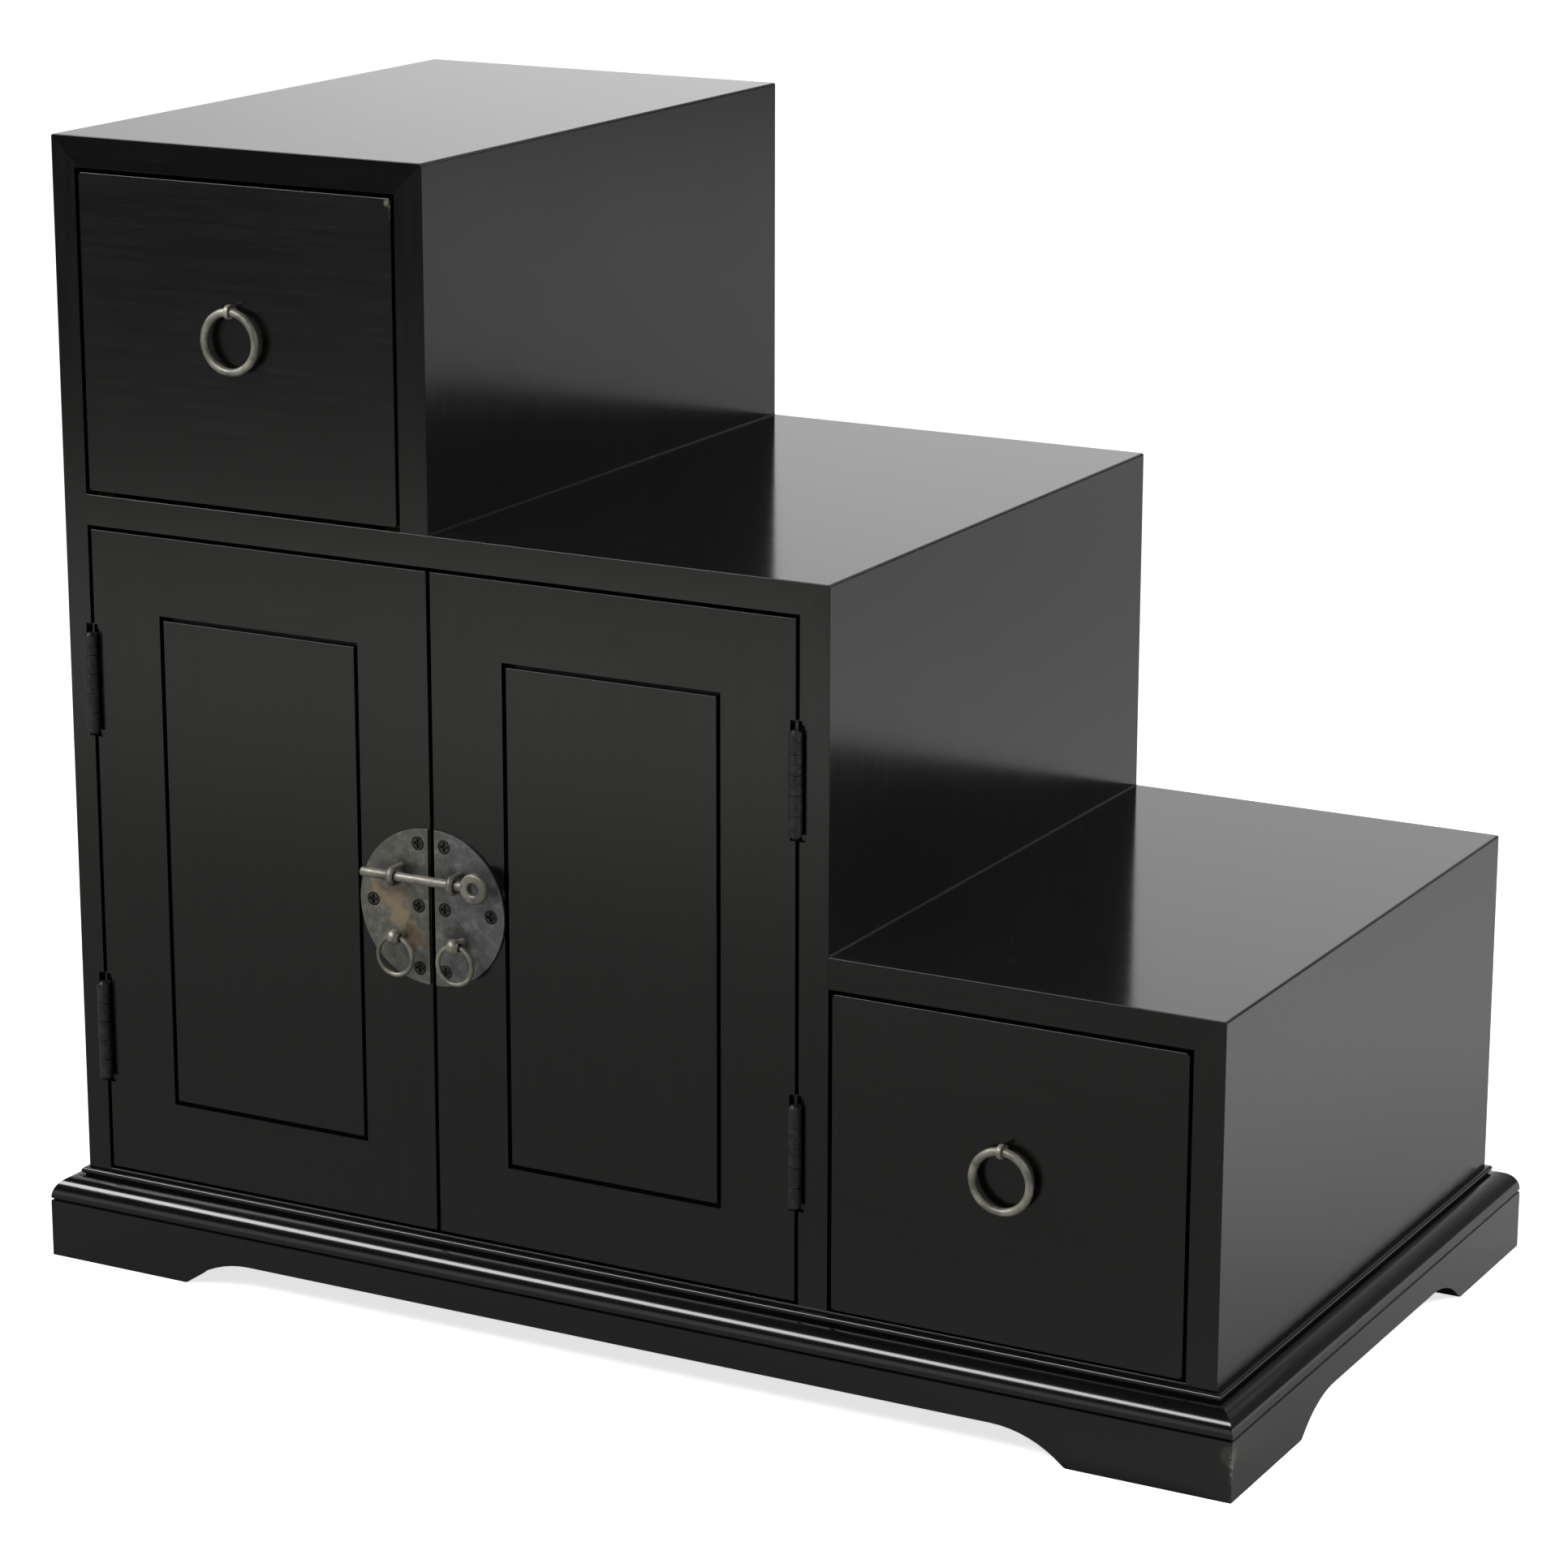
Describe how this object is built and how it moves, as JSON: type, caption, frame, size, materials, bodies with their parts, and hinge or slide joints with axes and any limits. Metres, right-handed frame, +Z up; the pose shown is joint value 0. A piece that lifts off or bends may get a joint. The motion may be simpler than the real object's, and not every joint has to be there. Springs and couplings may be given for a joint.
{
  "type": "step chest tansu",
  "caption": "Low stepped chest with a tall drawer box, a double-door cupboard and a low drawer box on a moulded plinth with bracket feet.",
  "frame": {"origin": "middle of the footprint on the floor", "axes": "+X to the low step, -Y to the doors and drawer fronts, +Z up"},
  "size_m": [0.638, 0.363, 0.5593],
  "materials": {
    "lacquer_board": "satin black lacquer over close-grained wood",
    "lacquer_side": "satin black lacquer with fine upright open pores",
    "lacquer_tread": "glossy black lacquer, lightly rubbed",
    "lacquer_front": "satin black lacquer, level grain showing faintly",
    "lacquer_plinth": "satin black lacquer, rubbed along the moulding",
    "inner_wood": "bare planed wood",
    "thin_sheet": "bare thin sheet wood",
    "hinge_iron": "black painted iron",
    "screw_iron": "darkened iron",
    "plate_pewter": "aged grey metal with rust bloom",
    "ring_bronze": "warm grey antiqued metal"
  },
  "bodies": {
    "case": {"left_side": "lacquer_side", "upper_side": "lacquer_side", "middle_side": "lacquer_side", "lower_side": "lacquer_side", "top_board": "lacquer_tread", "middle_tread": "lacquer_tread", "lower_tread": "lacquer_tread", "bottom_board": "lacquer_board", "plinth_front": "lacquer_plinth", "plinth_back": "lacquer_plinth", "plinth_left": "lacquer_plinth", "plinth_right": "lacquer_plinth", "upper_back": "lacquer_board", "middle_back": "lacquer_board", "lower_back": "lacquer_board", "plinth_blocks": "inner_wood", "stops": "inner_wood", "case_hinge_leaves": "hinge_iron", "hinge_pins": "hinge_iron", "case_hinge_screws": "screw_iron"},
    "left_door": {"left_door_hinge_stile": "lacquer_front", "left_door_lock_stile": "lacquer_front", "left_door_top_rail": "lacquer_front", "left_door_bottom_rail": "lacquer_front", "left_door_panel": "lacquer_front", "left_door_hinge_leaves": "hinge_iron", "left_door_hinge_screws": "screw_iron", "left_lock_plate": "plate_pewter", "left_plate_screws": "screw_iron", "left_staple": "ring_bronze", "left_ring_post": "ring_bronze"},
    "left_ring": {"left_drop_ring": "ring_bronze"},
    "right_door": {"right_door_hinge_stile": "lacquer_front", "right_door_lock_stile": "lacquer_front", "right_door_top_rail": "lacquer_front", "right_door_bottom_rail": "lacquer_front", "right_door_panel": "lacquer_front", "right_door_hinge_leaves": "hinge_iron", "right_door_hinge_screws": "screw_iron", "right_lock_plate": "plate_pewter", "right_plate_screws": "screw_iron", "right_staple": "ring_bronze", "right_ring_post": "ring_bronze"},
    "right_ring": {"right_drop_ring": "ring_bronze"},
    "latch": {"lock_pin": "ring_bronze"},
    "upper_drawer": {"upper_drawer_front": "lacquer_front", "upper_drawer_left": "inner_wood", "upper_drawer_right": "inner_wood", "upper_drawer_back": "inner_wood", "upper_drawer_bottom": "thin_sheet", "upper_pull_eye": "ring_bronze"},
    "upper_pull": {"upper_pull_ring": "ring_bronze"},
    "lower_drawer": {"lower_drawer_front": "lacquer_front", "lower_drawer_left": "inner_wood", "lower_drawer_right": "inner_wood", "lower_drawer_back": "inner_wood", "lower_drawer_bottom": "thin_sheet", "lower_pull_eye": "ring_bronze"},
    "lower_pull": {"lower_pull_ring": "ring_bronze"}
  },
  "joints": [
    {"name": "upper_drawer_slide", "type": "slide", "parent": "case", "child": "upper_drawer", "axis": [0, -1, 0], "range_m": [0, 0.24]},
    {"name": "lower_drawer_slide", "type": "slide", "parent": "case", "child": "lower_drawer", "axis": [0, -1, 0], "range_m": [0, 0.24]},
    {"name": "left_door_hinge", "type": "hinge", "parent": "case", "child": "left_door", "pos_m": [-0.291, -0.1695, 0.2075], "axis": [0, 0, -1], "range_deg": [0, 110]},
    {"name": "right_door_hinge", "type": "hinge", "parent": "case", "child": "right_door", "pos_m": [0.0945, -0.1695, 0.2075], "axis": [0, 0, 1], "range_deg": [0, 90]},
    {"name": "latch_slide", "type": "slide", "parent": "right_door", "child": "latch", "axis": [1, 0, 0], "range_m": [0, 0.048]},
    {"name": "left_ring_swing", "type": "hinge", "parent": "left_door", "child": "left_ring", "pos_m": [-0.116, -0.1755, 0.1945], "axis": [-1, 0, 0], "range_deg": [0, 100]},
    {"name": "right_ring_swing", "type": "hinge", "parent": "right_door", "child": "right_ring", "pos_m": [-0.083, -0.1755, 0.1945], "axis": [-1, 0, 0], "range_deg": [0, 100]},
    {"name": "upper_pull_swing", "type": "hinge", "parent": "upper_drawer", "child": "upper_pull", "pos_m": [-0.203, -0.1722, 0.4837], "axis": [-1, 0, 0], "range_deg": [0, 100]},
    {"name": "lower_pull_swing", "type": "hinge", "parent": "lower_drawer", "child": "lower_pull", "pos_m": [0.20025, -0.1722, 0.1405], "axis": [-1, 0, 0], "range_deg": [0, 100]}
  ]
}
